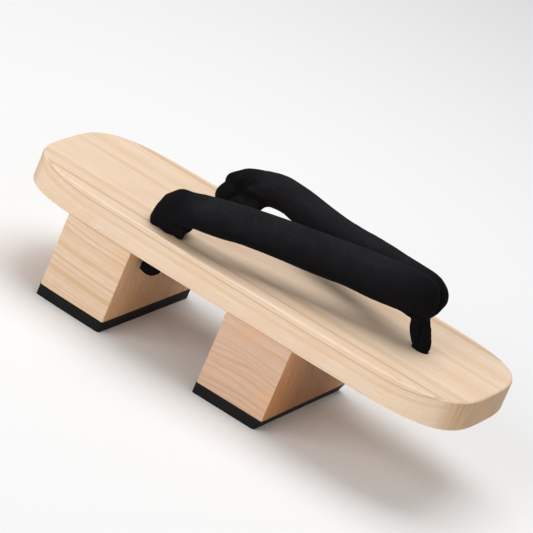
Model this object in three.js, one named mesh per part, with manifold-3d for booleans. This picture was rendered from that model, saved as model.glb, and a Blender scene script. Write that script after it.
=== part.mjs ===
// Geta sandal: a wooden deck on two block teeth with rubber soles, and a padded cloth strap.
// Millimetres, +Z up, +X toward the toe. The origin lies under the middle of the deck, on the
// ground plane. The sandal is the same on both sides of Y = 0, so it fits either foot.
import * as THREE from 'three';
import { mergeVertices } from 'three/addons/utils/BufferGeometryUtils.js';
import Module from 'manifold-3d';

const wasm = await Module();
wasm.setup();

// ---- driving dimensions ------------------------------------------------------------------

const GAP = 0.3; // air between pieces that meet on curved faces

const DECK = {
  length: 240,
  halfWidth: 43.7, // at the widest place
  widestAt: 0.6, // share of the length, counted from the heel
  sideBulge: 0.17, // how fast the sides draw in away from the widest place
  heelRound: { length: 60, power: 3.8 }, // the round end: its reach and how square it is
  toeRound: { length: 52, power: 3.5 },
  underside: 42,
  top: 57,
  edge: 1.2, // eased edge, top and bottom
};

const TOOTH_CORNER = 0.5; // eased upright corners of a tooth
const SOLE = {
  thickness: 5.5,
  corner: 1.6, // rounding of its upright corners
  proud: 0.5, // how far it stands out behind the tooth
};

// One row for each tooth: its back and front faces, and how far walking has worn back the
// front lower edge of its rubber.
const TEETH = [
  { name: 'heel', back: -86.4, front: -50.2, wear: 0, wood: 0xdcc39f },
  { name: 'front', back: 3.4, front: 39.6, wear: 2.2, wood: 0xd9b797 },
];

// Strap arm, one row for each section from the rear hole to the toe. out is the distance from
// the middle line, across and deep are half the section's width and height.
const ARM = [
  { along: -45, out: 30.6, up: 67.2, across: 8.4, deep: 7.8 },
  { along: -36, out: 32.4, up: 71.4, across: 8.2, deep: 7.2 },
  { along: -20, out: 30.3, up: 74.9, across: 8.2, deep: 7.8 },
  { along: 0, out: 22.4, up: 76.5, across: 8.0, deep: 8.6 },
  { along: 22, out: 14.8, up: 77.5, across: 7.4, deep: 9.4 },
  { along: 44, out: 8.6, up: 79.2, across: 6.8, deep: 9.8 },
  { along: 62, out: 4.8, up: 80.2, across: 6.2, deep: 9.9 },
  { along: 79.8, out: 3.2, up: 80.4, across: 5.8, deep: 9.8 },
];

// End of the arm that turns down into its hole, from the deck's underside upward.
const ARM_END = [
  { along: -43.5, out: 28, up: 42, across: 4.6, deep: 4.6 },
  { along: -43.5, out: 28, up: 56, across: 4.6, deep: 4.6 },
  { along: -43.5, out: 28, up: 57.8, across: 4.6, deep: 4.6 },
  { along: -43.4, out: 28.2, up: 58.7, across: 7.2, deep: 8.4 },
  { along: -43.2, out: 28.6, up: 61.2, across: 8.2, deep: 9.6 },
  { along: -43.0, out: 29.4, up: 66, across: 8.6, deep: 9.8 },
  { along: -42.6, out: 30.4, up: 75.4, across: 8.6, deep: 9.4 },
];

// The two sides of the strap, and how far the cloth bunches back and forward above each hole.
const SIDES = [
  { mirror: -1, back: 1.6, forward: 0 },
  { mirror: 1, back: 0, forward: 3.2 },
];

// Toe thong, from the deck's underside up to where it holds the two arms together.
const THONG = [
  { along: 79.3, out: 0, up: 42, across: 3.2, deep: 4.1 },
  { along: 79.3, out: 0, up: 50, across: 3.2, deep: 4.1 },
  { along: 79.2, out: 0, up: 57.8, across: 3.2, deep: 4.1 },
  { along: 78.0, out: 0, up: 60.8, across: 3.7, deep: 5.1 },
  { along: 76.2, out: 0, up: 64.2, across: 3.8, deep: 5.2 },
  { along: 74.6, out: 0, up: 68.3, across: 3.6, deep: 4.4 },
  { along: 73.3, out: 0, up: 71.2, across: 3.5, deep: 3.6 },
  { along: 72, out: 0, up: 77, across: 3.5, deep: 3.6 },
];

// Strap ends knotted under the deck. reach is half the size along X, Y and Z.
const KNOTS = [
  { name: 'rear_knot_right', at: [-43.4, -28, 40], reach: [5.8, 10, 8.8] },
  { name: 'rear_knot_left', at: [-43.4, 28, 40], reach: [5.8, 10, 8.8] },
  { name: 'front_knot', at: [79.3, 0, 40.4], reach: [7.5, 8.5, 8] },
];

const MATERIALS = {
  deckWood: { color: 0xeccfb1, roughness: 0.62, metalness: 0 },
  rubber: { color: 0x1c1d1f, roughness: 0.75, metalness: 0 },
  cloth: { color: 0x1e1c1f, roughness: 0.95, metalness: 0 },
};

// ---- helpers -----------------------------------------------------------------------------

/** A closed three.js geometry as a manifold-3d solid. */
function toSolid(geometry) {
  const bare = geometry.clone();
  bare.deleteAttribute('normal');
  bare.deleteAttribute('uv');
  const merged = mergeVertices(bare, 1e-4);
  return new wasm.Manifold(new wasm.Mesh({
    numProp: 3,
    vertProperties: new Float32Array(merged.attributes.position.array),
    triVerts: new Uint32Array(merged.index.array),
  }));
}

/** A manifold-3d solid back as a three.js geometry. */
function toGeometry(solid) {
  const { vertProperties, triVerts } = solid.getMesh();
  const geometry = new THREE.BufferGeometry();
  geometry.setAttribute('position', new THREE.BufferAttribute(vertProperties, 3));
  geometry.setIndex(new THREE.BufferAttribute(triVerts, 1));
  geometry.computeVertexNormals();
  return geometry;
}

function piece(name, geometry, look) {
  const mesh = new THREE.Mesh(geometry, new THREE.MeshStandardMaterial(look));
  mesh.name = name;
  return mesh;
}

// ---- deck outline ------------------------------------------------------------------------

/** Half the deck's width at x. The ends are superellipses on gently bulging sides. */
function halfWidthAt(x) {
  const fromHeel = x + DECK.length / 2;
  const fromToe = DECK.length / 2 - x;
  const off = fromHeel / DECK.length - DECK.widestAt;
  const roundEnd = (distance, { length, power }) => {
    const share = Math.min(1, Math.max(0, 1 - distance / length));
    return Math.pow(1 - Math.pow(share, power), 1 / power);
  };
  const side = DECK.halfWidth * (1 - DECK.sideBulge * off * off);
  return side * roundEnd(fromHeel, DECK.heelRound) * roundEnd(fromToe, DECK.toeRound);
}

/** Outline of the deck, drawn in by inset, as a closed shape. */
function deckShape(inset) {
  const steps = 64;
  const reach = DECK.length / 2 - inset;
  const side = [];
  for (let i = 0; i <= steps; i += 1) {
    const x = -reach * Math.cos((Math.PI * i) / steps);
    const share = (DECK.halfWidth - inset) / DECK.halfWidth;
    side.push(new THREE.Vector2(x, halfWidthAt((x * DECK.length) / 2 / reach) * share));
  }
  const points = side.map((p) => new THREE.Vector2(p.x, -p.y));
  for (const p of side.slice(1, -1).reverse()) points.push(p);
  return new THREE.Shape(points);
}

/** Plan of a tooth: straight back and front, with sides that follow the deck's edge. */
function toothShape({ back, front }, corner) {
  const steps = 6;
  const shape = new THREE.Shape();
  const side = [];
  for (let i = 0; i <= steps; i += 1) {
    const x = back + corner + ((front - back - 2 * corner) * i) / steps;
    side.push([x, halfWidthAt(x)]);
  }
  const [xBack, yBack] = side[0];
  const [xFront, yFront] = side[steps];
  shape.moveTo(xBack, -yBack);
  for (const [x, y] of side.slice(1)) shape.lineTo(x, -y);
  shape.quadraticCurveTo(front, -yFront, front, -yFront + (front - xFront));
  shape.lineTo(front, yFront - (front - xFront));
  shape.quadraticCurveTo(front, yFront, xFront, yFront);
  for (const [x, y] of side.slice(0, -1).reverse()) shape.lineTo(x, y);
  shape.quadraticCurveTo(back, yBack, back, yBack - (xBack - back));
  shape.lineTo(back, -yBack + (xBack - back));
  shape.quadraticCurveTo(back, -yBack, xBack, -yBack);
  return shape;
}

// ---- strap -------------------------------------------------------------------------------

/** The width or height of a tube's section at the share t of its table of rows. */
function sizeAt(rows, key, t) {
  const place = t * (rows.length - 1);
  const row = Math.min(Math.floor(place), rows.length - 2);
  return THREE.MathUtils.lerp(rows[row][key], rows[row + 1][key], place - row);
}

/**
 * A soft tube through a table of sections, with round or flat ends.
 * mirror is -1 for the right side (Y < 0) and 1 for the left side. perRow rings lie between
 * two rows of the table. An upright tube keeps its rings level and evenly spread. A lying
 * tube turns them square to its path and crowds them toward its round ends.
 */
function softTube(rows, mirror, { perRow, upright = false, roundStart = 0, roundEnd = 0 }) {
  const sides = 20;
  const steps = perRow * (rows.length - 1);
  const path = new THREE.CatmullRomCurve3(
    rows.map((r) => new THREE.Vector3(r.along, mirror * r.out, r.up)),
  );
  const first = rows[0];
  const last = rows[rows.length - 1];
  const heading = new THREE.Vector3(last.along - first.along, mirror * (last.out - first.out), 0);
  if (heading.length() < 5) heading.set(1, 0, 0);
  const acrossHint = new THREE.Vector3(-heading.y, heading.x, 0).normalize();
  const total = path.getLength();
  const dome = (distance, reach) => {
    if (reach === 0 || distance >= reach) return 1;
    const share = 1 - distance / reach;
    return Math.sqrt(Math.max(1 - share * share, 0.01));
  };
  const tube = new THREE.CylinderGeometry(1, 1, 1, sides, steps, false);
  const position = tube.attributes.position;
  for (let i = 0; i < position.count; i += 1) {
    const share = Math.min(1, Math.max(0, position.getY(i) + 0.5));
    const t = upright ? share : (1 - Math.cos(Math.PI * share)) / 2;
    const centre = path.getPoint(t);
    const tangent = upright ? new THREE.Vector3(0, 0, 1) : path.getTangent(t);
    const across = acrossHint.clone().addScaledVector(tangent, -acrossHint.dot(tangent)).normalize();
    const deep = new THREE.Vector3().crossVectors(tangent, across);
    const taper = dome(t * total, roundStart) * dome((1 - t) * total, roundEnd);
    centre.addScaledVector(across, -position.getX(i) * sizeAt(rows, 'across', t) * taper);
    centre.addScaledVector(deep, position.getZ(i) * sizeAt(rows, 'deep', t) * taper);
    position.setXYZ(i, centre.x, centre.y, centre.z);
  }
  return toSolid(tube);
}

/** The upper: two padded arms and the toe thong, joined where they cross. */
function strapGeometry() {
  let strap = softTube(THONG, 1, { perRow: 2, upright: true });
  for (const { mirror, back, forward } of SIDES) {
    const end = ARM_END.map((row, i) => {
      const bunched = row.up > DECK.top + 1 && i < ARM_END.length - 1;
      if (!bunched) return row;
      const along = row.along + (forward - back) / 2;
      return { ...row, along, deep: row.deep + (forward + back) / 2 };
    });
    strap = strap.add(softTube(ARM, mirror, { perRow: 5, roundStart: 8, roundEnd: 11 }));
    strap = strap.add(softTube(end, mirror, { perRow: 4, upright: true, roundEnd: 9 }));
  }
  return toGeometry(strap);
}

// ---- wooden and rubber pieces ------------------------------------------------------------

function deckGeometry() {
  const solid = toSolid(new THREE.ExtrudeGeometry(deckShape(DECK.edge), {
    depth: DECK.top - DECK.underside - 2 * DECK.edge,
    bevelThickness: DECK.edge,
    bevelSize: DECK.edge,
    bevelSegments: 2,
  }).translate(0, 0, DECK.underside + DECK.edge));
  const holes = [
    { rows: ARM_END, mirror: 1 },
    { rows: ARM_END, mirror: -1 },
    { rows: THONG, mirror: 1 },
  ];
  return toGeometry(holes.reduce((deck, { rows, mirror }) => {
    const { along, out, across, deep } = rows[0];
    const drill = new THREE.CylinderGeometry(1, 1, 4 * (DECK.top - DECK.underside), 24)
      .rotateX(Math.PI / 2)
      .scale(deep + GAP, across + GAP, 1)
      .translate(along, mirror * out, DECK.top);
    return deck.subtract(toSolid(drill));
  }, solid));
}

function toothGeometry(tooth) {
  return new THREE.ExtrudeGeometry(toothShape(tooth, TOOTH_CORNER), {
    depth: DECK.underside - SOLE.thickness,
    bevelEnabled: false,
    curveSegments: 2,
  }).translate(0, 0, SOLE.thickness);
}

/** The rubber under a tooth. Wear draws its front face in toward the ground. */
function soleGeometry(tooth) {
  const plan = { back: tooth.back - SOLE.proud, front: tooth.front };
  const sole = new THREE.ExtrudeGeometry(toothShape(plan, SOLE.corner), {
    depth: SOLE.thickness,
    bevelEnabled: false,
    curveSegments: 4,
  });
  const position = sole.attributes.position;
  const halfway = (plan.back + plan.front) / 2;
  for (let i = 0; i < position.count; i += 1) {
    const worn = position.getZ(i) === 0 && position.getX(i) > halfway;
    const share = (position.getX(i) - halfway) / (plan.front - halfway);
    if (worn) position.setX(i, position.getX(i) - tooth.wear * share);
  }
  return sole;
}

/** A knotted end: a rounded lump, flat where it bears on the deck's underside. */
function knotGeometry({ at, reach }) {
  const lump = new THREE.SphereGeometry(1, 20, 14).scale(...reach).translate(...at);
  const room = 4 * Math.max(...reach);
  const above = new THREE.BoxGeometry(room, room, room)
    .translate(at[0], at[1], DECK.underside - GAP + room / 2);
  return toGeometry(toSolid(lump).subtract(toSolid(above)));
}

// ---- assembly ----------------------------------------------------------------------------

const geta = new THREE.Group();
geta.add(piece('deck', deckGeometry(), MATERIALS.deckWood));
for (const tooth of TEETH) {
  const wood = { color: tooth.wood, roughness: 0.7, metalness: 0 };
  geta.add(piece(`${tooth.name}_tooth`, toothGeometry(tooth), wood));
  geta.add(piece(`${tooth.name}_sole`, soleGeometry(tooth), MATERIALS.rubber));
}
geta.add(piece('strap', strapGeometry(), MATERIALS.cloth));
for (const knot of KNOTS) geta.add(piece(knot.name, knotGeometry(knot), MATERIALS.cloth));

export default geta;
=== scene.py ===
"""A geta: a wooden sandal on two teeth, with a padded cloth strap, finished around its CAD model."""

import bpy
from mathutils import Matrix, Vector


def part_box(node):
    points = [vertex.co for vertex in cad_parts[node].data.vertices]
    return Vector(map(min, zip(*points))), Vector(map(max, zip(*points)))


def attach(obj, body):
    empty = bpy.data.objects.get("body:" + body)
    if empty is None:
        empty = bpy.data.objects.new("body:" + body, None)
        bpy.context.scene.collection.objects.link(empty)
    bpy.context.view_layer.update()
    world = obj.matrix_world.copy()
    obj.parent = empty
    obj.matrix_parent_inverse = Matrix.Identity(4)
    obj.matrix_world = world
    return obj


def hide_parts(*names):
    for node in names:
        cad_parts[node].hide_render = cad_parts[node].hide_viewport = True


bl_info = {
    "name": "Geta Sandal",
    "version": (1, 0, 0),
    "blender": (4, 5, 0),
    "location": "3D View > Sidebar > Geta",
    "description": "Builds a wooden geta sandal with a padded cloth strap",
    "category": "Object",
}

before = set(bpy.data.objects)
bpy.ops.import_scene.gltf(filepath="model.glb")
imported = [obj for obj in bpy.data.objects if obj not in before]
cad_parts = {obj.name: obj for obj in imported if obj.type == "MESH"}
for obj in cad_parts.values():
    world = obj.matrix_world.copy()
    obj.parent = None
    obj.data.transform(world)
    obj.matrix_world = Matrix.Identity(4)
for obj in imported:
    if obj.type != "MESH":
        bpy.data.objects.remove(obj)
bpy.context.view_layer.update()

import math

import bmesh
import bpy
import numpy as np
from bpy.props import FloatProperty, FloatVectorProperty, IntProperty, PointerProperty
from mathutils import Matrix, Vector

MM = 0.001
WELD = 0.01 * MM  # vertices closer than this are one
FLAT = math.radians(0.3)  # faces that differ by less than this are one
DECK_LOW, DECK_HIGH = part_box("deck")


def linear(code):
    """An sRGB hex colour as linear red, green, blue and alpha."""
    parts = [int(code[i:i + 2], 16) / 255 for i in (1, 3, 5)]
    return [c / 12.92 if c <= 0.04045 else ((c + 0.055) / 1.055) ** 2.4 for c in parts] + [1.0]


def colour(name, description, code):
    """A colour property with an sRGB hex default."""
    return FloatVectorProperty(name=name, description=description, default=linear(code), size=4,
                               min=0, max=1, subtype="COLOR")


def length(name, description, default):
    """A length property in metres, with its default in millimetres."""
    return FloatProperty(name=name, description=description, default=default * MM, unit="LENGTH")


def angle(name, description, default):
    """An angle property, with its default in degrees."""
    return FloatProperty(name=name, description=description, default=math.radians(default),
                         subtype="ANGLE", unit="ROTATION")


# ---- settings ----------------------------------------------------------------------------


class GetaWood(bpy.types.PropertyGroup):
    """Colours and grain of the deck and the teeth."""

    deck: colour("Deck", "Pale early wood of the deck", "#E8CFB5")
    deck_ring: colour("Deck rings", "Late wood of the deck's growth rings", "#E2C5A4")
    deck_end: colour("Deck end grain", "Wood where the deck's fibres are cut across", "#D6B088")
    heel: colour("Heel tooth", "Early wood of the heel tooth", "#E2C5A9")
    heel_ring: colour("Heel tooth rings", "Late wood of the heel tooth", "#D6B18A")
    front: colour("Front tooth", "Early wood of the front tooth", "#D4B298")
    front_ring: colour("Front tooth rings", "Late wood of the front tooth", "#CBA285")
    heel_end: colour("Heel end grain", "Heel tooth where its fibres are cut across", "#E6B688")
    front_end: colour("Front end grain", "Front tooth where its fibres are cut across", "#C98A52")
    patch: colour("Warm patches", "Resin that warms the wood in soft patches", "#E0A878")
    year_line: colour("Year lines", "Thin dark lines where a year's growth ends", "#C0946A")
    pin_knot: colour("Pin knots", "Small dark specks in the wood", "#A5754A")
    # Paler wood on the eased edges: partly sanding, partly a painted highlight along them.
    sanded_and_highlit: colour("Eased edges", "Wood on the sanded edges", "#FFF0DC")
    ring_spacing: length("Ring spacing", "Distance between growth rings", 1.7)
    fibre: length("Fibre width", "Width of a bundle of fibres that shows as a streak", 0.4)


class GetaCloth(bpy.types.PropertyGroup):
    """The strap's padded cloth."""

    thread: colour("Thread", "Dyed cotton of the strap", "#131214")
    worn_and_lit: colour("Brushed thread", "Raised fibres that catch the light", "#242326")
    # The lighter thread: raised fibres in random spots, and also the painted highlight on faces turned up.
    thread_spacing: length("Thread spacing", "Distance between threads, drawn coarse enough to show", 0.7)
    voxel: length("Voxel", "Grid of the remesh before the padding is blown up", 1.15)
    pressure: FloatProperty(name="Pressure", description="How hard the padding fills the cloth",
                            default=4.0, min=0)
    frames: IntProperty(name="Frames", description="Steps of the padding simulation", default=20)
    cap: length("Cap", "Furthest that the padding may push the cloth", 2.0)
    loft: length("Loft", "How far the stuffed cloth stands proud of the CAD form", 0.6)
    slack: FloatProperty(name="Slack", default=0.03, min=0,
                         description="Share by which the cloth between the gathers is cut too large")


class GetaRubber(bpy.types.PropertyGroup):
    """The rubber under the teeth."""

    face: colour("Rubber", "Moulded black foam rubber", "#0F0F0F")
    scuffed: colour("Scuffed rubber", "Rubber rubbed grey at its cut edges", "#19191A")


class GetaStage(bpy.types.PropertyGroup):
    """Floor, light and camera."""

    floor: colour("Floor", "Plain pale floor", "#F0F0F0")
    azimuth: angle("Azimuth", "Camera's turn about the vertical", 20.574)
    elevation: angle("Elevation", "Camera's height above the horizon", 21.617)
    roll: angle("Roll", "Camera's turn about its own axis", 23.225)
    distance: length("Distance", "From the camera to the point that it looks at", 1800)
    lens: FloatProperty(name="Lens", description="Focal length on a 36 mm sensor, in millimetres",
                        default=273.56)
    aim: FloatVectorProperty(name="Aim", description="Point that the camera looks at",
                             default=(0.0104, -0.0379, 0.0689), size=3, unit="LENGTH")


class GetaSettings(bpy.types.PropertyGroup):
    """Everything that a user would change."""

    wood: PointerProperty(type=GetaWood)
    cloth: PointerProperty(type=GetaCloth)
    rubber: PointerProperty(type=GetaRubber)
    stage: PointerProperty(type=GetaStage)


# ---- shared tools ------------------------------------------------------------------------


def new_material(name):
    """An empty node material, its tree and its shader."""
    material = bpy.data.materials.new(name)
    material.use_nodes = True
    tree = material.node_tree
    shader = tree.nodes["Principled BSDF"]
    return material, tree, shader


def add(tree, kind, inputs=None, **settings):
    """Adds a node, sets its settings, and fills or links its inputs."""
    node = tree.nodes.new(kind)
    for key, value in settings.items():
        setattr(node, key, value)
    for socket, value in (inputs or {}).items():
        if isinstance(value, bpy.types.NodeSocket):
            tree.links.new(value, node.inputs[socket])
        else:
            node.inputs[socket].default_value = value
    return node


def welded(node):
    """A bmesh of a CAD node with its loose triangles joined and its flat faces whole."""
    bm = bmesh.new()
    bm.from_mesh(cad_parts[node].data)
    bmesh.ops.remove_doubles(bm, verts=bm.verts, dist=WELD)
    bmesh.ops.dissolve_limit(bm, angle_limit=FLAT, verts=bm.verts, edges=bm.edges)
    return bm


def finish_piece(bm, name, node, material):
    """Makes the piece that stands for a CAD node, riding on the one body."""
    mesh = bpy.data.meshes.new(name)
    bm.to_mesh(mesh)
    bm.free()
    mesh.materials.clear()
    mesh.materials.append(material)
    piece = bpy.data.objects.new(name, mesh)
    bpy.context.scene.collection.objects.link(piece)
    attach(piece, "root")
    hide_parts(node)
    return piece


SHARP_EDGE = 40  # degrees: a sharper edge of wood or rubber stays crisp
SHARP_CORD = 60  # degrees: the same for a knot, whose only sharp edges are its cut ends


def smooth_faces(piece, sharpest):
    """Shades a piece smoothly except at edges sharper than an angle in degrees."""
    piece.data.shade_smooth()
    piece.data.set_sharp_from_angle(angle=math.radians(sharpest))


# ---- materials ---------------------------------------------------------------------------


# Slow patterns of the wood along X, Y and Z, in waves per metre.
RING_DRIFT = (7, 26, 26)
WARM_PATCHES = (40, 60, 75)
SAW_SCORES = (300, 1100, 60)

# Patterns across the growth rings, in waves per ring.
LATE_BANDS = 0.55
FINE_LINES = 2.6
YEARS = 0.8

STREAK_LENGTH = 50  # how many times longer than wide a bundle of fibres is
PIN_KNOT_SPACING = 19 * MM
GRAIN_RELIEF = 0.12 * MM
PAINTED_SHADE_SPAN = (14 * MM, 42 * MM)  # from the shoe's middle: where the painted shade on sawn faces starts to lift, and where it is gone and they are palest
EASED_SLOPE = 0.6  # upward part of the normal halfway round an eased edge


def bent_grain(tree, place, wander, curl):
    """A place in wood whose fibres run along X, pushed about so that they aren't dead straight."""
    drift_map = add(tree, "ShaderNodeMapping", {"Vector": place,
                                                "Scale": [waves * curl for waves in RING_DRIFT]})
    drift = add(tree, "ShaderNodeTexNoise", {"Vector": drift_map.outputs[0], "Scale": 1.0, "Detail": 2.0})
    centred = add(tree, "ShaderNodeVectorMath", {0: drift.outputs["Color"], 1: (0.5, 0.5, 0.5)},
                  operation="SUBTRACT")
    bend = add(tree, "ShaderNodeVectorMath", {0: centred.outputs[0], "Scale": wander * MM},
               operation="SCALE")
    return add(tree, "ShaderNodeVectorMath", {0: place, 1: bend.outputs[0]}, operation="ADD").outputs[0]


def ring_count(tree, grain, tilt):
    """How many growth rings a place is across the grain."""
    spacing = bpy.context.scene.geta.wood.ring_spacing
    turned = add(tree, "ShaderNodeVectorRotate", {"Vector": grain, "Angle": math.radians(tilt)},
                 rotation_type="X_AXIS")
    across = add(tree, "ShaderNodeSeparateXYZ", {0: turned.outputs[0]}).outputs["Y"]
    return add(tree, "ShaderNodeMath", {0: across, 1: 1 / spacing}, operation="MULTIPLY").outputs[0]


def late_wood(tree, rings):
    """Late wood, in bands of uneven strength with fine lines between them."""
    uneven = add(tree, "ShaderNodeTexNoise",
                 {"W": rings, "Scale": LATE_BANDS, "Detail": 3.0, "Roughness": 0.65},
                 noise_dimensions="1D").outputs["Fac"]
    bands = add(tree, "ShaderNodeMapRange", {"Value": uneven, "From Min": 0.42, "From Max": 0.72},
                interpolation_type="SMOOTHSTEP").outputs[0]
    fine = add(tree, "ShaderNodeTexNoise", {"W": rings, "Scale": FINE_LINES, "Detail": 2.0},
               noise_dimensions="1D").outputs["Fac"]
    lines = add(tree, "ShaderNodeMapRange", {"Value": fine, "From Min": 0.56, "From Max": 0.74},
                interpolation_type="SMOOTHSTEP").outputs[0]
    return add(tree, "ShaderNodeMath", {0: lines, 1: 0.45, 2: bands}, operation="MULTIPLY_ADD",
               use_clamp=True).outputs[0]


def year_lines(tree, rings):
    """Thin dark lines where one year's growth ends."""
    years = add(tree, "ShaderNodeTexNoise", {"W": rings, "Scale": YEARS, "Detail": 1.0},
                noise_dimensions="1D").outputs["Fac"]
    level = add(tree, "ShaderNodeMath", {0: years, 1: 0.5}, operation="SUBTRACT").outputs[0]
    off_line = add(tree, "ShaderNodeMath", {0: level}, operation="ABSOLUTE").outputs[0]
    return add(tree, "ShaderNodeMapRange", {"Value": off_line, "From Max": 0.024, "To Min": 0.5,
                                            "To Max": 0.0}).outputs[0]


def fibre_streaks(tree, grain):
    """Streaks of fibres, many times longer than wide."""
    per_fibre = 1 / bpy.context.scene.geta.wood.fibre
    fibre_map = add(tree, "ShaderNodeMapping", {"Vector": grain,
                                                "Scale": (per_fibre / STREAK_LENGTH, per_fibre, per_fibre)})
    return add(tree, "ShaderNodeTexNoise",
               {"Vector": fibre_map.outputs[0], "Scale": 1.0, "Detail": 3.0}).outputs["Fac"]


def planed_face(tree, moved, rings, fibres, late_share, early, late, orange):
    """Colour of wood planed along its fibres: rings, streaks, warm patches and pin knots."""
    wood = bpy.context.scene.geta.wood
    banded = add(tree, "ShaderNodeMix", {"Factor": late_share, 6: early, 7: late},
                 data_type="RGBA").outputs[2]
    ringed = add(tree, "ShaderNodeMix", {"Factor": year_lines(tree, rings), 6: banded, 7: wood.year_line},
                 data_type="RGBA").outputs[2]
    streak = add(tree, "ShaderNodeMapRange", {"Value": fibres, "From Min": 0.3, "From Max": 0.75,
                                              "To Min": 1.04, "To Max": 0.9}).outputs[0]
    streaked = add(tree, "ShaderNodeVectorMath", {0: ringed, "Scale": streak}, operation="SCALE").outputs[0]

    patch_map = add(tree, "ShaderNodeMapping", {"Vector": moved, "Scale": WARM_PATCHES})
    patches = add(tree, "ShaderNodeTexNoise", {"Vector": patch_map.outputs[0], "Scale": 1.0, "Detail": 2.0})
    warm = add(tree, "ShaderNodeMapRange", {"Value": patches.outputs["Fac"], "From Min": 0.5,
                                            "From Max": 0.75, "To Max": orange}).outputs[0]
    patched = add(tree, "ShaderNodeMix", {"Factor": warm, 6: streaked, 7: wood.patch},
                  data_type="RGBA").outputs[2]

    specks = add(tree, "ShaderNodeTexVoronoi", {"Vector": moved, "Scale": 1 / PIN_KNOT_SPACING})
    speck = add(tree, "ShaderNodeMapRange", {"Value": specks.outputs["Distance"], "From Min": 0.015,
                                             "From Max": 0.04, "To Min": 0.6, "To Max": 0.0}).outputs[0]
    return add(tree, "ShaderNodeMix", {"Factor": speck, 6: patched, 7: wood.pin_knot},
               data_type="RGBA").outputs[2]


def sawn_face(tree, place, moved, end, middle_shade_tone):
    """Colour of wood sawn across: scored upright by the saw, with painted shade that darkens it toward the
    middle of the shoe and leaves it paler toward its sides.
    """
    saw_map = add(tree, "ShaderNodeMapping", {"Vector": moved, "Scale": SAW_SCORES})
    scores = add(tree, "ShaderNodeTexNoise", {"Vector": saw_map.outputs[0], "Scale": 1.0, "Detail": 3.0})
    scored = add(tree, "ShaderNodeMapRange", {"Value": scores.outputs["Fac"], "From Min": 0.3,
                                              "From Max": 0.7, "To Min": 0.78, "To Max": 1.14}).outputs[0]
    sideways = add(tree, "ShaderNodeSeparateXYZ", {0: place}).outputs["Y"]
    aside = add(tree, "ShaderNodeMath", {0: sideways}, operation="ABSOLUTE").outputs[0]
    painted_shade_gain = add(tree, "ShaderNodeMapRange", {"Value": aside, "From Min": PAINTED_SHADE_SPAN[0],
                                               "From Max": PAINTED_SHADE_SPAN[1], "To Min": middle_shade_tone,
                                               "To Max": 1.04}).outputs[0]
    tone = add(tree, "ShaderNodeMath", {0: scored, 1: painted_shade_gain}, operation="MULTIPLY").outputs[0]
    return add(tree, "ShaderNodeVectorMath", {0: end[:3], "Scale": tone}, operation="SCALE").outputs[0]


def wood_material(name, early, late, end, tilt, wander, curl, offset, orange, middle_shade_tone):
    """Planed, sanded, unvarnished softwood: matte, with straight rings along the shoe.

    The ring planes run along X and are tilted about it. Planing leaves a dry surface, so the
    light spreads widely and the fibres show as fine streaks. Sawn ends soak up light and look
    browner."""
    material, tree, shader = new_material(name)
    place = add(tree, "ShaderNodeTexCoord").outputs["Object"]
    moved = add(tree, "ShaderNodeVectorMath", {0: place, 1: offset}, operation="ADD").outputs[0]
    grain = bent_grain(tree, moved, wander, curl)
    rings = ring_count(tree, grain, tilt)
    late_share = late_wood(tree, rings)
    fibres = fibre_streaks(tree, grain)
    planed = planed_face(tree, moved, rings, fibres, late_share, early, late, orange)

    # Faces that look along the shoe are sawn across.
    facing = add(tree, "ShaderNodeSeparateXYZ", {0: add(tree, "ShaderNodeNewGeometry").outputs["Normal"]})
    toward_end = add(tree, "ShaderNodeMath", {0: facing.outputs["X"]}, operation="ABSOLUTE").outputs[0]
    cut = add(tree, "ShaderNodeMapRange", {"Value": toward_end, "From Min": 0.55, "From Max": 0.95},
              interpolation_type="SMOOTHSTEP").outputs[0]
    # Sawn faces carry painted shade: darker toward the middle of the shoe.
    sawn = sawn_face(tree, place, moved, end, middle_shade_tone)
    whole = add(tree, "ShaderNodeMix", {"Factor": cut, 6: planed, 7: sawn}, data_type="RGBA").outputs[2]

    # The eased edges, which face between up and sideways, are painted paler: partly sanding, which leaves
    # them smoother and paler, and partly a painted highlight along them.
    up = add(tree, "ShaderNodeMath", {0: facing.outputs["Z"]}, operation="ABSOLUTE").outputs[0]
    slope = add(tree, "ShaderNodeMath", {0: up, 1: EASED_SLOPE}, operation="SUBTRACT").outputs[0]
    off_edge = add(tree, "ShaderNodeMath", {0: slope}, operation="ABSOLUTE").outputs[0]
    eased = add(tree, "ShaderNodeMapRange", {"Value": off_edge, "From Min": 0.05, "From Max": 0.14,
                                             "To Min": 0.4, "To Max": 0.0}).outputs[0]
    sanded_and_highlit = bpy.context.scene.geta.wood.sanded_and_highlit
    edged = add(tree, "ShaderNodeMix", {"Factor": eased, 6: whole, 7: sanded_and_highlit}, data_type="RGBA")
    tree.links.new(edged.outputs[2], shader.inputs["Base Color"])

    rough = add(tree, "ShaderNodeMapRange", {"Value": late_share, "To Min": 0.62, "To Max": 0.5}).outputs[0]
    tree.links.new(rough, shader.inputs["Roughness"])
    relief = add(tree, "ShaderNodeBump", {"Height": fibres, "Strength": 0.35, "Distance": GRAIN_RELIEF})
    tree.links.new(relief.outputs[0], shader.inputs["Normal"])
    return material


# The cloth is kept at its dark thread by its holes, as painted shade on the gathered ends, and may take the
# lighter tone between them: distances ahead of a rear hole and behind the toe's hole where that painted shade
# starts to lift, and where it is gone.
END_SHADE_AFTER_REAR = (2.4 * MM, 13.4 * MM)
END_SHADE_BEFORE_TOE = (3.2 * MM, 27.2 * MM)
NAP = 1.2 * MM  # size of a tuft of raised fibres
WORN_SPOT = 9 * MM  # size of a spot that has been rubbed
WEAVE_RELIEF = 0.12 * MM


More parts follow.
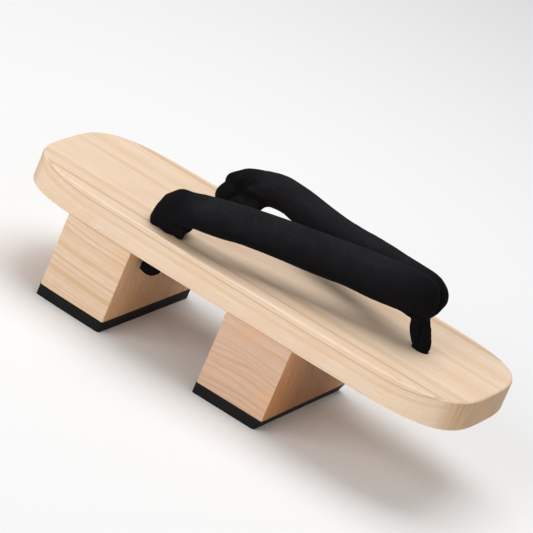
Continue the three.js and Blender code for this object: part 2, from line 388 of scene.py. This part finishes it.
def cloth_material():
    """Brushed black cotton: matte, with random mottled nap, a painted highlight on faces turned up, and
    painted shade that keeps the gathered ends dark.
    """
    cloth = bpy.context.scene.geta.cloth
    material, tree, shader = new_material("brushed_black_cotton")
    along = add(tree, "ShaderNodeAttribute", attribute_name="cloth").outputs["Vector"]
    place = add(tree, "ShaderNodeTexCoord").outputs["Object"]
    turns = add(tree, "ShaderNodeVectorMath", {0: along, "Scale": 2 * math.pi / cloth.thread_spacing},
                operation="SCALE")
    sides = add(tree, "ShaderNodeSeparateXYZ", {0: turns.outputs[0]})
    warp = add(tree, "ShaderNodeMath", {0: sides.outputs["X"]}, operation="SINE").outputs[0]
    weft = add(tree, "ShaderNodeMath", {0: sides.outputs["Y"]}, operation="SINE").outputs[0]
    weave = add(tree, "ShaderNodeMath", {0: warp, 1: weft}, operation="MULTIPLY").outputs[0]
    nap = add(tree, "ShaderNodeTexNoise",
              {"Vector": place, "Scale": 1 / NAP, "Detail": 3.0}).outputs["Fac"]
    mottle = add(tree, "ShaderNodeTexNoise",
                 {"Vector": place, "Scale": 1 / WORN_SPOT, "Detail": 3.0}).outputs["Fac"]
    raised = add(tree, "ShaderNodeMath", {0: nap, 1: mottle}, operation="MULTIPLY").outputs[0]
    spotty = add(tree, "ShaderNodeMapRange", {"Value": raised, "From Min": 0.15, "From Max": 0.38,
                                              "To Min": 0.55}).outputs[0]

    # Painted shade: the gathered ends are kept at the dark thread, and only the middle of the arms may take
    # the lighter tone.
    rear_hole, toe_hole = ENDS["right"][0][0], ENDS["right toe"][0][0]
    reach = add(tree, "ShaderNodeSeparateXYZ", {0: place}).outputs["X"]
    rear = add(tree, "ShaderNodeMapRange", {"Value": reach, "From Min": rear_hole + END_SHADE_AFTER_REAR[0],
                                            "From Max": rear_hole + END_SHADE_AFTER_REAR[1]},
               interpolation_type="SMOOTHSTEP").outputs[0]
    toe = add(tree, "ShaderNodeMapRange", {"Value": reach, "From Min": toe_hole - END_SHADE_BEFORE_TOE[0],
                                           "From Max": toe_hole - END_SHADE_BEFORE_TOE[1]},
              interpolation_type="SMOOTHSTEP").outputs[0]
    clear_of_end_shade = add(tree, "ShaderNodeMath", {0: rear, 1: toe}, operation="MULTIPLY").outputs[0]
    # Painted light: faces turned up are painted lighter and the underside is kept at its black, as light from
    # above would fall.
    normal = add(tree, "ShaderNodeNewGeometry").outputs["Normal"]
    facing = add(tree, "ShaderNodeSeparateXYZ", {0: normal})
    painted_top_light = add(tree, "ShaderNodeMapRange", {"Value": facing.outputs["Z"], "From Min": -0.55,
                                              "From Max": 0.6, "To Min": -0.1}).outputs[0]
    painted_light = add(tree, "ShaderNodeMath", {0: clear_of_end_shade, 1: painted_top_light}, operation="MULTIPLY").outputs[0]
    lighter_share = add(tree, "ShaderNodeMath", {0: spotty, 1: painted_light}, operation="MULTIPLY").outputs[0]
    tone = add(tree, "ShaderNodeMix", {"Factor": lighter_share, 6: cloth.thread, 7: cloth.worn_and_lit}, data_type="RGBA")
    tree.links.new(tone.outputs[2], shader.inputs["Base Color"])

    surface = add(tree, "ShaderNodeMath", {0: weave, 1: 0.35, 2: nap}, operation="MULTIPLY_ADD").outputs[0]
    bump = add(tree, "ShaderNodeBump", {"Height": surface, "Strength": 0.5, "Distance": WEAVE_RELIEF})
    tree.links.new(bump.outputs[0], shader.inputs["Normal"])
    shader.inputs["Roughness"].default_value = 0.9
    shader.inputs["Specular IOR Level"].default_value = 0.0
    shader.inputs["Sheen Weight"].default_value = 0.02
    shader.inputs["Sheen Roughness"].default_value = 0.5
    return material


PIT = 0.9 * MM  # size of a pore of the foam
SCUFF = 14 * MM  # size of a rubbed spot
PIT_DEPTH = 0.15 * MM


def rubber_material():
    """Black foam rubber, sliced and pressed: near matte, finely pitted, greyer where it is rubbed."""
    rubber = bpy.context.scene.geta.rubber
    material, tree, shader = new_material("sliced_foam_rubber")
    place = add(tree, "ShaderNodeTexCoord").outputs["Object"]
    pits = add(tree, "ShaderNodeTexNoise",
               {"Vector": place, "Scale": 1 / PIT, "Detail": 2.0}).outputs["Fac"]
    scuffs = add(tree, "ShaderNodeTexNoise",
                 {"Vector": place, "Scale": 1 / SCUFF, "Detail": 4.0}).outputs["Fac"]
    rubbed = add(tree, "ShaderNodeMapRange", {"Value": scuffs, "From Min": 0.48, "From Max": 0.7}).outputs[0]
    tone = add(tree, "ShaderNodeMix", {"Factor": rubbed, 6: rubber.face, 7: rubber.scuffed}, data_type="RGBA")
    tree.links.new(tone.outputs[2], shader.inputs["Base Color"])
    bump = add(tree, "ShaderNodeBump", {"Height": pits, "Strength": 0.4, "Distance": PIT_DEPTH})
    tree.links.new(bump.outputs[0], shader.inputs["Normal"])
    shader.inputs["Roughness"].default_value = 0.72
    shader.inputs["Specular IOR Level"].default_value = 0.2
    return material


# ---- strap -------------------------------------------------------------------------------


def vertex_places(mesh):
    """The mesh's vertices as an array, in metres."""
    places = np.empty(len(mesh.vertices) * 3)
    mesh.vertices.foreach_get("co", places)
    return places.reshape(-1, 3)


def vertex_directions(mesh):
    """The mesh's outward normals at its vertices."""
    directions = np.empty(len(mesh.vertices) * 3, np.float32)
    mesh.vertex_normals.foreach_get("vector", directions)
    return directions.reshape(-1, 3).astype(float)


def set_places(mesh, places):
    """Moves the mesh's vertices."""
    mesh.vertices.foreach_set("co", places.ravel())
    mesh.update()


def apply_modifiers(piece):
    """Bakes a piece's modifiers into its mesh."""
    evaluated = piece.evaluated_get(bpy.context.evaluated_depsgraph_get())
    baked = bpy.data.meshes.new_from_object(evaluated)
    piece.modifiers.clear()
    piece.data = baked


def hole(knot):
    """The middle of the hole over a knot, on the deck's top."""
    low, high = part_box(knot)
    middle = (low + high) / 2
    return np.array((middle.x, middle.y, DECK_HIGH.z))


# The hole that each end of an arm goes down, and the side of the shoe that the arm is on.
ENDS = {
    "right": (hole("rear_knot_right"), -1),
    "left": (hole("rear_knot_left"), 1),
    "right toe": (hole("front_knot"), -1),
    "left toe": (hole("front_knot"), 1),
}


def near_end(end, ahead, out, up):
    """A place from its millimetres ahead of an end's hole, out to its side and above the deck."""
    middle, side = ENDS[end]
    return middle + np.array((ahead, side * out, up)) * MM


# Where the cloth is bunched by a hole: end, place near it and reach, in millimetres.
GATHERS = (
    ("right", (0, 2, 11), 15),
    ("left", (1, 2, 11), 17),
    ("left toe", (-2, 0, 9), 9),
)
REAR_ENDS = ("right", "left")
TURN = (0, 3, 16)  # where an arm turns down to its hole: ahead of it, out and above the deck
TURN_REACH = 11 * MM
SOFTENING = 16  # rounds of smoothing at a turn
HELD_HEIGHT = 1.5 * MM  # cloth up to this far above the deck is held by its hole
GROOVE_CLOSED = 1.4 * MM  # half the width of the grooves that are filled


def close_grooves(piece, reach):
    """Fills grooves narrower than a reach by swelling the shape and drawing it in again."""
    for distance in (reach, -reach):
        swell = piece.modifiers.new("swell", "DISPLACE")
        swell.strength = distance
        swell.mid_level = 0
        grid = piece.modifiers.new("grid", "REMESH")
        grid.mode = "VOXEL"
        grid.voxel_size = bpy.context.scene.geta.cloth.voxel
        apply_modifiers(piece)


def soften_turns(piece):
    """Smooths the joins in the form where an arm turns down to its hole."""
    bm = bmesh.new()
    bm.from_mesh(piece.data)
    for end in REAR_ENDS:
        middle = Vector(near_end(end, *TURN))
        near = [v for v in bm.verts if (v.co - middle).length < TURN_REACH]
        for _ in range(SOFTENING):
            bmesh.ops.smooth_vert(bm, verts=near, factor=0.5, use_axis_x=True, use_axis_y=True,
                                  use_axis_z=True)
    bm.to_mesh(piece.data)
    bm.free()


def pad_out(piece):
    """Fills the cloth: a simulation under pressure, with the parts in the deck's holes pinned."""
    cloth = bpy.context.scene.geta.cloth
    start = vertex_places(piece.data)
    held = piece.vertex_groups.new(name="held")
    low = np.flatnonzero(start[:, 2] < DECK_HIGH.z + HELD_HEIGHT)
    held.add([int(i) for i in low], 1.0, "REPLACE")
    snug = piece.vertex_groups.new(name="snug")
    ease = np.ones(len(start))
    for end, place, reach in GATHERS:
        near = np.linalg.norm(start - near_end(end, *place), axis=1) / (reach * MM)
        ease = np.minimum(ease, np.minimum(1, near ** 2))
    for i, weight in enumerate(ease):
        snug.add([i], float(weight), "REPLACE")
    pad = piece.modifiers.new("padding", "CLOTH")
    pad.settings.quality = 6
    pad.settings.mass = 0.1
    pad.settings.tension_stiffness = 40
    pad.settings.compression_stiffness = 20
    pad.settings.bending_stiffness = 0.5
    pad.settings.vertex_group_shrink = snug.name
    pad.settings.shrink_min = -cloth.slack
    pad.settings.use_pressure = True
    pad.settings.uniform_pressure_force = cloth.pressure
    pad.settings.effector_weights.gravity = 0
    pad.settings.vertex_group_mass = held.name
    pad.point_cache.frame_end = cloth.frames
    for step in range(1, cloth.frames + 1):
        bpy.context.scene.frame_set(step)
    apply_modifiers(piece)
    bpy.context.scene.frame_set(1)
    moved = vertex_places(piece.data) - start
    far = np.linalg.norm(moved, axis=1, keepdims=True)
    capped = moved * np.minimum(1, cloth.cap / np.maximum(far, 1e-9))
    set_places(piece.data, start + capped)
    piece.vertex_groups.clear()


# Lumps of padding: the end that each is near, its place ahead of that end's hole, out and above
# the deck, its reach, and its push ahead, out and up, in millimetres.
LUMPS = (
    ("right", (-9, 4, 0), 7, (0.2, 0.4, -1.3)),  # low at the back
    ("right", (-9.5, 3, 7), 8, (1.7, 0, -1.2)),  # drawn in above it
    ("right", (4.5, 5.5, 1), 7, (4.2, 1.7, -1.0)),  # low at the front
    ("right", (0.5, 7.5, 1), 6, (0.6, 1.6, -0.6)),  # low at the side
    ("right", (-5, 6.5, 1), 7, (-0.2, 1.2, -1.1)),  # filled out between the two
    ("right", (-1.5, 3, 19), 6, (0, 0, 0.9)),  # crest
    ("right", (21.5, 1, 9), 15, (0, 0.3, -0.9)),  # arm sagging next to it
    ("left", (-8.5, 1, 5), 9, (1.8, 0, 0)),  # back
    ("left", (-6.5, -1, 11), 6, (1.2, 0, -0.4)),  # drawn in between two lobes
    ("left", (-3.5, -1, 15), 5.5, (-1.8, 0, -1.3)),  # upper lobe
    ("left", (-0.5, 0.5, 18), 5, (0, 0, -2.2)),  # lower behind it
    ("left", (13, -1, 7), 9, (1.3, 0, 0)),  # forward lobe
    ("left", (19, -2, 9), 7, (0, 0, 2.2)),  # underside of the arm, arched next to it
    ("left", (25, -2, 9), 8, (0, 0, 1.2)),  # underside, past the arch
    ("left", (33, -3, 10), 11, (0, 0, 1.2)),  # underside, further along
    ("left", (18, 2, 24), 12, (0, 0, 0.8)),  # crown, where the arm leaves its end
    ("left", (56, -12, 27), 28, (0, 0, -0.9)),  # crown, lower halfway to the toe
    ("right toe", (0, 5, 26), 6.5, (-1.0, 0, 0)),  # cut short
    ("left toe", (1, 5, 26), 9, (0.7, 0, 0.2)),  # longer
    ("left toe", (1, 3, 15), 7, (0.4, 0, -1.8)),  # low over the thong
    ("right toe", (-8, 6, 15), 6, (0, 0, -0.8)),  # underside by the thong
    ("right toe", (-2, 4, 15), 6, (0.6, 0, -0.8)),  # sagging on the thong
    ("right toe", (-25, 11, 11), 17, (0, 0, -0.9)),  # underside behind the thong
)

# The cloth is pinched near each end of an arm, on its inner or its outer face, and folds fan
# out of the pinch. A fan has its ends, its face, and its place ahead of the hole and above the
# deck. A fold has its heading, in degrees up from straight ahead, how far it bends on its way,
# and its length, depth and half width, in millimetres.
FANS = (
    (REAR_ENDS, "inner", (6, 12), (
        (-10, -5, 10, 2.0, 1.8),  # forward, out under the arm
        (165, -10, 9, 2.0, 1.7),  # back, across the end
        (115, 25, 8, 1.8, 1.3),  # up to the crown
        (225, 10, 7, 1.7, 1.3),  # down toward the hole
        (65, 20, 7, 0.8, 1.1),  # up the arm
    )),
    (REAR_ENDS, "outer", (12, 12), (
        (120, 20, 9, 0.5, 2.4),  # up, over the bend
    )),
    (("right toe", "left toe"), "outer", (-7, 15), (
        (0, 0, 7, 1.2, 0.8),  # forward, where the thong meets the arm
        (80, 20, 10, 0.35, 0.9),  # up the arm
    )),
    (("right toe", "left toe"), "outer", (-2, 12), (
        (-75, 0, 12, 1.3, 0.9),  # down the thong, between its two plies
    )),
)
FOLD_STEPS = 16
FACE_TOLERANCE = 0.7 * MM  # how far a face's point may be from the place asked for
WELT = 0.35  # height of the swelling beside a fold, as a share of its depth
WELT_PLACE = 2  # how far the swelling is from the fold's line, in half widths
WELT_WIDTH = 0.8
FOLD_HOLDS = 0.35  # share of its length over which a fold stays deep
FOLD_FADE = 0.7  # how fast it fades after that: under 1 is slow and then quick
LINE_SMOOTHING = 4  # rounds of smoothing of a fold's line

# The groove between the two arms, where their ends meet over the thong.
GROOVE_DEPTH = 1.4 * MM
GROOVE_WIDTH = 1.2 * MM
GROOVE_START = (-4, 18)  # ahead of the toe's hole and above the deck, in millimetres
GROOVE_RAMP = (3, 4)  # how far along and up it takes to reach its depth, in millimetres

# Pleats round the holes: end, number of pleats, height that they reach and depth, in millimetres.
PLEATS = (
    ("right", 9, 9, 0.3),
    ("left", 9, 10, 0.45),
    ("left toe", 6, 6, 0.2),
)
PLEAT_UNEVEN = 0.8  # how unevenly they are spaced
PLEAT_SUNK = 0.3  # how far they lie below the cloth on the whole
PLEAT_SPREAD = 2.5  # how far out they reach, in times their height

HOLE_REACH = 5.2 * MM  # how far the widest hole reaches from its middle
LOFT_RISE = 2 * MM  # height above the deck at which the loft is full
OVER_DECK = 0.15 * MM  # air between the cloth and the deck
THROUGH_DECK = 3 * MM  # cloth further than this below the deck's top belongs in a hole


def push_lumps(places):
    """Pushes the padding out or in around a few points."""
    for end, place, reach, (ahead, out, up) in LUMPS:
        near = np.linalg.norm(places - near_end(end, *place), axis=1) / (reach * MM)
        fade = np.clip(1 - near ** 2, 0, 1) ** 2
        places += fade[:, None] * np.array((ahead, ENDS[end][1] * out, up)) * MM
    return places


def on_face(places, side, face, x, z):
    """The point of an arm's inner or outer face at a distance along the shoe and a height."""
    arm = places[side * places[:, 1] > 0]
    off = np.hypot(arm[:, 0] - x, arm[:, 2] - z)
    level = arm[off < off.min() + FACE_TOLERANCE]
    out = np.abs(level[:, 1])
    return level[out.argmin() if face == "inner" else out.argmax()]


def fold_line(places, end, face, start, heading, bend, length):
    """The line on the cloth that a fold follows out of its pinch."""
    middle, side = ENDS[end]
    x, z = middle[0] + start[0] * MM, middle[2] + start[1] * MM
    line = []
    for step in range(FOLD_STEPS + 1):
        line.append(on_face(places, side, face, x, z))
        way = math.radians(heading + bend * step / FOLD_STEPS)
        x += math.cos(way) * length * MM / FOLD_STEPS
        z += math.sin(way) * length * MM / FOLD_STEPS
    line = np.array(line)
    for _ in range(LINE_SMOOTHING):
        line[1:-1] = (line[:-2] + 2 * line[1:-1] + line[2:]) / 4
    return line


def fold_depth(places, points):
    """How far each place is from a fold's line, and how far along it, from 0 to 1."""
    best = np.full(len(places), 1e9)
    share = np.zeros(len(places))
    for k in range(len(points) - 1):
        start, leg = points[k], points[k + 1] - points[k]
        along = np.clip((places - start) @ leg / max(leg @ leg, 1e-12), 0, 1)
        gap = np.linalg.norm(places - start - along[:, None] * leg, axis=1)
        nearer = gap < best
        best[nearer] = gap[nearer]
        share[nearer] = (k + along[nearer]) / (len(points) - 1)
    return best, share


def crease(places, outward):
    """Presses the fans of folds into the cloth, with a low welt beside each fold."""
    pressed = np.zeros(len(places))
    raised = np.zeros(len(places))
    for ends, face, start, folds in FANS:
        for end in ends:
            for heading, bend, length, depth, width in folds:
                line = fold_line(places, end, face, start, heading, bend, length)
                gap, share = fold_depth(places, line)
                fade = np.clip(1 + FOLD_HOLDS - share, 0, 1) ** FOLD_FADE * depth * MM
                off = gap / (width * MM)
                beside = np.exp(-((off - WELT_PLACE) / WELT_WIDTH) ** 2)
                pressed = np.maximum(pressed, fade * np.exp(-off ** 2))
                raised = np.maximum(raised, fade * WELT * beside)
    raised *= 1 - pressed / pressed.max()
    return places - (pressed - raised)[:, None] * outward


def part_toes(places, outward):
    """Presses a groove between the two arms where their ends meet over the thong."""
    middle = ENDS["left toe"][0]
    ahead = (places[:, 0] - middle[0]) / MM
    up = (places[:, 2] - middle[2]) / MM
    groove = np.exp(-(places[:, 1] / GROOVE_WIDTH) ** 2)
    front = (np.clip((ahead - GROOVE_START[0]) / GROOVE_RAMP[0], 0, 1)
             * np.clip((up - GROOVE_START[1]) / GROOVE_RAMP[1], 0, 1))
    return places - (groove * front * GROOVE_DEPTH)[:, None] * outward


def gather(places, outward):
    """Pleats the cloth where it is drawn down into a hole."""
    for end, pleats, reach, depth in PLEATS:
        round_x, round_y = (places[:, :2] - ENDS[end][0][:2]).T
        height = (places[:, 2] - DECK_HIGH.z) / (reach * MM)
        near = np.hypot(round_x, round_y) < PLEAT_SPREAD * reach * MM
        turn = np.arctan2(round_y, round_x)
        wave = np.cos(pleats * turn + PLEAT_UNEVEN * np.sin(2 * turn)) - PLEAT_SUNK
        fade = np.where(near, np.clip(1 - height, 0, 1) ** 1.5, 0)
        places += (wave * fade * depth * MM)[:, None] * outward
    return places


def sculpt(piece):
    """Shapes the padded cloth: lumps, folds and pleats."""
    places = vertex_places(piece.data)
    clear = np.clip((places[:, 2] - DECK_HIGH.z) / LOFT_RISE, 0, 1)
    loft = bpy.context.scene.geta.cloth.loft
    places += (clear * loft)[:, None] * vertex_directions(piece.data)
    set_places(piece.data, push_lumps(places))
    outward = vertex_directions(piece.data)
    places = crease(places, outward)
    places = part_toes(places, outward)
    places = gather(places, outward)
    over_wood = places[:, 2] > DECK_HIGH.z - THROUGH_DECK
    for middle, _ in ENDS.values():
        over_wood &= np.hypot(*(places[:, :2] - middle[:2]).T) > HOLE_REACH
    places[over_wood, 2] = np.maximum(places[over_wood, 2], DECK_HIGH.z + OVER_DECK)
    set_places(piece.data, places)


STATIONS = 30  # places along the strap at which the middle of an arm is found
ARM_RADIUS = 8.5 * MM


def lay_thread(piece):
    """Gives each vertex its place on the cloth: along an arm, and round it."""
    places = vertex_places(piece.data)
    low, high = places[:, 0].min(), places[:, 0].max()
    stations = np.linspace(low, high, STATIONS)
    side = np.where(places[:, 1] < 0, -1, 1)
    threads = np.zeros_like(places)
    for mirror in (-1, 1):
        mine = side == mirror
        own = places[mine]
        slot = np.clip(np.searchsorted(stations, own[:, 0]) - 1, 0, len(stations) - 2)
        middle = np.array([own[slot == k, 1:].mean(0) if (slot == k).any() else (0, 0)
                           for k in range(len(stations) - 1)])
        centre_x = (stations[1:] + stations[:-1]) / 2
        y = own[:, 1] - np.interp(own[:, 0], centre_x, middle[:, 0])
        z = own[:, 2] - np.interp(own[:, 0], centre_x, middle[:, 1])
        threads[mine, 0] = own[:, 0]
        threads[mine, 1] = np.arctan2(y, z) * ARM_RADIUS
    layer = piece.data.attributes.new("cloth", "FLOAT_VECTOR", "POINT")
    layer.data.foreach_set("vector", threads.astype(np.float32).ravel())


# ---- operators ---------------------------------------------------------------------------


class GETA_OT_deck(bpy.types.Operator):
    """Finish the wooden deck"""

    bl_idname = "geta.deck"
    bl_label = "Deck"

    def execute(self, context):
        wood = context.scene.geta.wood
        material = wood_material("planed_paulownia", wood.deck, wood.deck_ring, wood.deck_end,
                                 tilt=70, wander=1.4, curl=1, offset=(0.31, 0.2, 0.1),
                                 orange=0.22, middle_shade_tone=0.85)
        board = finish_piece(welded("deck"), "deck_board", "deck", material)
        smooth_faces(board, SHARP_EDGE)
        board.modifiers.new("flat_faces", "WEIGHTED_NORMAL").keep_sharp = True
        return {"FINISHED"}


LET_IN = 0.55 * MM  # how deep a tooth sits in its groove under the deck
TOOTH_TOP = 1 * MM  # vertices this near to the deck are a tooth's top


class GETA_OT_teeth(bpy.types.Operator):
    """Finish the two wooden teeth"""

    bl_idname = "geta.teeth"
    bl_label = "Teeth"

    def execute(self, context):
        wood = context.scene.geta.wood
        heel = wood_material("sanded_cedar_heel", wood.heel, wood.heel_ring, wood.heel_end,
                             tilt=50, wander=4, curl=1.3, offset=(0.7, 0.35, 0.6),
                             orange=0.4, middle_shade_tone=0.84)
        front = wood_material("sanded_cedar_front", wood.front, wood.front_ring, wood.front_end,
                              tilt=-50, wander=13, curl=1.9, offset=(1.2, 0.8, 0.2),
                              orange=0.7, middle_shade_tone=0.56)
        for name, material in (("heel", heel), ("front", front)):
            bm = welded(f"{name}_tooth")
            for vert in bm.verts:
                if vert.co.z > DECK_LOW.z - TOOTH_TOP:
                    vert.co.z += LET_IN
            block = finish_piece(bm, f"{name}_block", f"{name}_tooth", material)
            smooth_faces(block, SHARP_EDGE)
            block.modifiers.new("flat_faces", "WEIGHTED_NORMAL").keep_sharp = True
        return {"FINISHED"}


class GETA_OT_soles(bpy.types.Operator):
    """Finish the rubber under the teeth"""

    bl_idname = "geta.soles"
    bl_label = "Rubber soles"

    def execute(self, context):
        material = rubber_material()
        for name in ("heel", "front"):
            tread = finish_piece(welded(f"{name}_sole"), f"{name}_rubber", f"{name}_sole",
                                 material)
            smooth_faces(tread, SHARP_EDGE)
            tread.modifiers.new("flat_faces", "WEIGHTED_NORMAL").keep_sharp = True
        return {"FINISHED"}


class GETA_OT_strap(bpy.types.Operator):
    """Pad the cloth strap and fold it"""

    bl_idname = "geta.strap"
    bl_label = "Padded strap"

    def execute(self, context):
        cloth = context.scene.geta.cloth
        material = cloth_material()
        strap = finish_piece(welded("strap"), "padded_strap", "strap", material)
        grid = strap.modifiers.new("grid", "REMESH")
        grid.mode = "VOXEL"
        grid.voxel_size = cloth.voxel
        apply_modifiers(strap)
        close_grooves(strap, GROOVE_CLOSED)
        soften_turns(strap)
        pad_out(strap)
        finer = strap.modifiers.new("finer", "SUBSURF")
        finer.levels = 1
        finer.render_levels = 1
        apply_modifiers(strap)
        sculpt(strap)
        lay_thread(strap)
        strap.data.shade_smooth()
        return {"FINISHED"}


KNOT_STEPS = 36
KNOT_CORD = 2.4 * MM  # radius of the tied cord
KNOT_TURN = math.radians(90)  # turn of its three lobes about X
PULLED = (0.72, 0.56, 0.98)  # how much of its space a pulled knot fills
KNOT_LEAN = -1.3 * MM  # how far it is pulled back
TAIL_ROOT = (0.3, 0.5)  # where a cut end leaves the knot, as shares of its reach along X and Y
TAIL_SPLAY = (1 * MM, 1.4 * MM)  # how far a cut end spreads out along X and Y
TAIL_DROP = 1 * MM  # how far it hangs below the knot


def knot_line(centre, reach):
    """The middle line of a three-lobed knot that fills a box, in metres."""
    points = []
    for step in range(KNOT_STEPS):
        t = 2 * math.pi * step / KNOT_STEPS
        x = math.sin(t) + 2 * math.sin(2 * t)
        y = math.cos(t) - 2 * math.cos(2 * t)
        lobe = Matrix.Rotation(KNOT_TURN, 2) @ Vector((x, y))
        points.append((centre.x - math.sin(3 * t) * reach.x,
                       centre.y + lobe.x * reach.y / 3.0,
                       centre.z + lobe.y * reach.z / 3.0))
    return points


def add_line(curve, points, cyclic):
    """Adds one smooth line of points to a curve."""
    line = curve.splines.new("NURBS")
    line.points.add(len(points) - 1)
    for point, place in zip(line.points, points):
        point.co = (*place, 1)
    line.order_u = 4
    line.use_cyclic_u = cyclic
    line.use_endpoint_u = not cyclic


class GETA_OT_knots(bpy.types.Operator):
    """Tie the strap's ends under the deck"""

    bl_idname = "geta.knots"
    bl_label = "Knots"

    def execute(self, context):
        material = bpy.data.materials["brushed_black_cotton"]
        for node in ("rear_knot_right", "rear_knot_left", "front_knot"):
            low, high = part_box(node)
            centre = (low + high) / 2
            reach = Vector(PULLED) * (high - low) / 2 - Vector((KNOT_CORD,) * 3)
            centre.x += KNOT_LEAN
            curve = bpy.data.curves.new(node, "CURVE")
            curve.dimensions = "3D"
            curve.bevel_depth = KNOT_CORD
            curve.bevel_resolution = 5
            curve.use_fill_caps = True
            add_line(curve, knot_line(centre, reach), True)
            for side in (-1, 1):
                root = centre + side * Vector((TAIL_ROOT[0] * reach.x, TAIL_ROOT[1] * reach.y, 0))
                splay = side * Vector((*TAIL_SPLAY, 0))
                tip = root + splay - Vector((0, 0, reach.z + TAIL_DROP))
                add_line(curve, [root, root.lerp(tip, 0.35), root.lerp(tip, 0.7), tip], False)
            tied = bpy.data.objects.new(node, curve)
            context.scene.collection.objects.link(tied)
            mesh = bpy.data.meshes.new_from_object(
                tied.evaluated_get(context.evaluated_depsgraph_get()))
            bpy.data.objects.remove(tied)
            bm = bmesh.new()
            bm.from_mesh(mesh)
            bmesh.ops.remove_doubles(bm, verts=bm.verts, dist=WELD)
            bmesh.ops.recalc_face_normals(bm, faces=bm.faces)
            knot = finish_piece(bm, f"tied_{node}", node, material)
            smooth_faces(knot, SHARP_CORD)
        return {"FINISHED"}


FLOOR_RADIUS = 3.0  # metres
AMBIENT = 0.35  # strength of the even light from all round

# Soft boxes: name, place, point that it faces, width in metres and power in watts.
LIGHTS = (
    ("overhead", (-0.1, 0.22, 1.0), (0, 0, 0), 0.8, 7.3),
    ("window", (-0.6, -1.4, 0.7), (0, 0, 0.03), 1.2, 13.5),
    ("fill", (1.0, -0.7, 0.35), (0, 0, 0.03), 0.8, 1.8),
)


class GETA_OT_stage(bpy.types.Operator):
    """Lay the floor and set the lights and the camera"""

    bl_idname = "geta.stage"
    bl_label = "Stage"

    def execute(self, context):
        scene = context.scene
        stage = scene.geta.stage
        bm = bmesh.new()
        bmesh.ops.create_circle(bm, cap_ends=True, radius=FLOOR_RADIUS, segments=64)
        mesh = bpy.data.meshes.new("floor")
        bm.to_mesh(mesh)
        bm.free()
        floor = bpy.data.objects.new("floor", mesh)
        scene.collection.objects.link(floor)
        # Matt paper scatters light evenly, so it shows soft shadows and no reflection.
        material, tree, shader = new_material("matt_paper_floor")
        shader.inputs["Base Color"].default_value = stage.floor
        shader.inputs["Roughness"].default_value = 0.9
        mesh.materials.append(material)

        world = bpy.data.worlds.new("studio")
        world.use_nodes = True
        sky = world.node_tree.nodes["Background"]
        sky.inputs["Color"].default_value = (1, 1, 1, 1)
        sky.inputs["Strength"].default_value = AMBIENT
        scene.world = world
        scene.view_settings.view_transform = "Standard"

        for name, spot, aim, size, power in LIGHTS:
            light = bpy.data.lights.new(name, "AREA")
            light.size = size
            light.energy = power
            lamp = bpy.data.objects.new(name, light)
            turn = (Vector(aim) - Vector(spot)).to_track_quat("-Z", "Y").to_matrix().to_4x4()
            lamp.matrix_world = Matrix.Translation(spot) @ turn
            scene.collection.objects.link(lamp)

        lens = bpy.data.cameras.new("camera")
        lens.sensor_width = 36
        lens.lens = stage.lens
        lens.clip_end = 20
        camera = bpy.data.objects.new("camera", lens)
        turn = (Matrix.Rotation(stage.azimuth, 4, "Z")
                @ Matrix.Rotation(math.pi / 2 - stage.elevation, 4, "X")
                @ Matrix.Rotation(stage.roll, 4, "Z"))
        camera.matrix_world = (Matrix.Translation(stage.aim) @ turn
                               @ Matrix.Translation((0, 0, stage.distance)))
        scene.collection.objects.link(camera)
        scene.camera = camera
        return {"FINISHED"}


STEPS = (GETA_OT_deck, GETA_OT_teeth, GETA_OT_soles, GETA_OT_strap, GETA_OT_knots, GETA_OT_stage)


class GETA_PT_panel(bpy.types.Panel):
    """The steps of the geta, in order."""

    bl_idname = "GETA_PT_panel"
    bl_label = "Geta"
    bl_space_type = "VIEW_3D"
    bl_region_type = "UI"
    bl_category = "Geta"

    def draw(self, context):
        for step in STEPS:
            self.layout.operator(step.bl_idname, text=step.bl_label)
        for group in ("wood", "cloth", "rubber", "stage"):
            box = self.layout.box()
            settings = getattr(context.scene.geta, group)
            for name in settings.__annotations__:
                box.prop(settings, name)


CLASSES = (GetaWood, GetaCloth, GetaRubber, GetaStage, GetaSettings, *STEPS, GETA_PT_panel)


def register():
    """Makes the settings, the operators and the panel known to Blender."""
    for each in CLASSES:
        bpy.utils.register_class(each)
    bpy.types.Scene.geta = PointerProperty(type=GetaSettings)


def unregister():
    """Takes them away again."""
    del bpy.types.Scene.geta
    for each in reversed(CLASSES):
        bpy.utils.unregister_class(each)


def main():
    """Builds the sandal."""
    register()
    bpy.ops.geta.deck()
    bpy.ops.geta.teeth()
    bpy.ops.geta.soles()
    bpy.ops.geta.strap()
    bpy.ops.geta.knots()
    bpy.ops.geta.stage()
    bpy.context.view_layer.update()


if __name__ == "__main__":
    main()
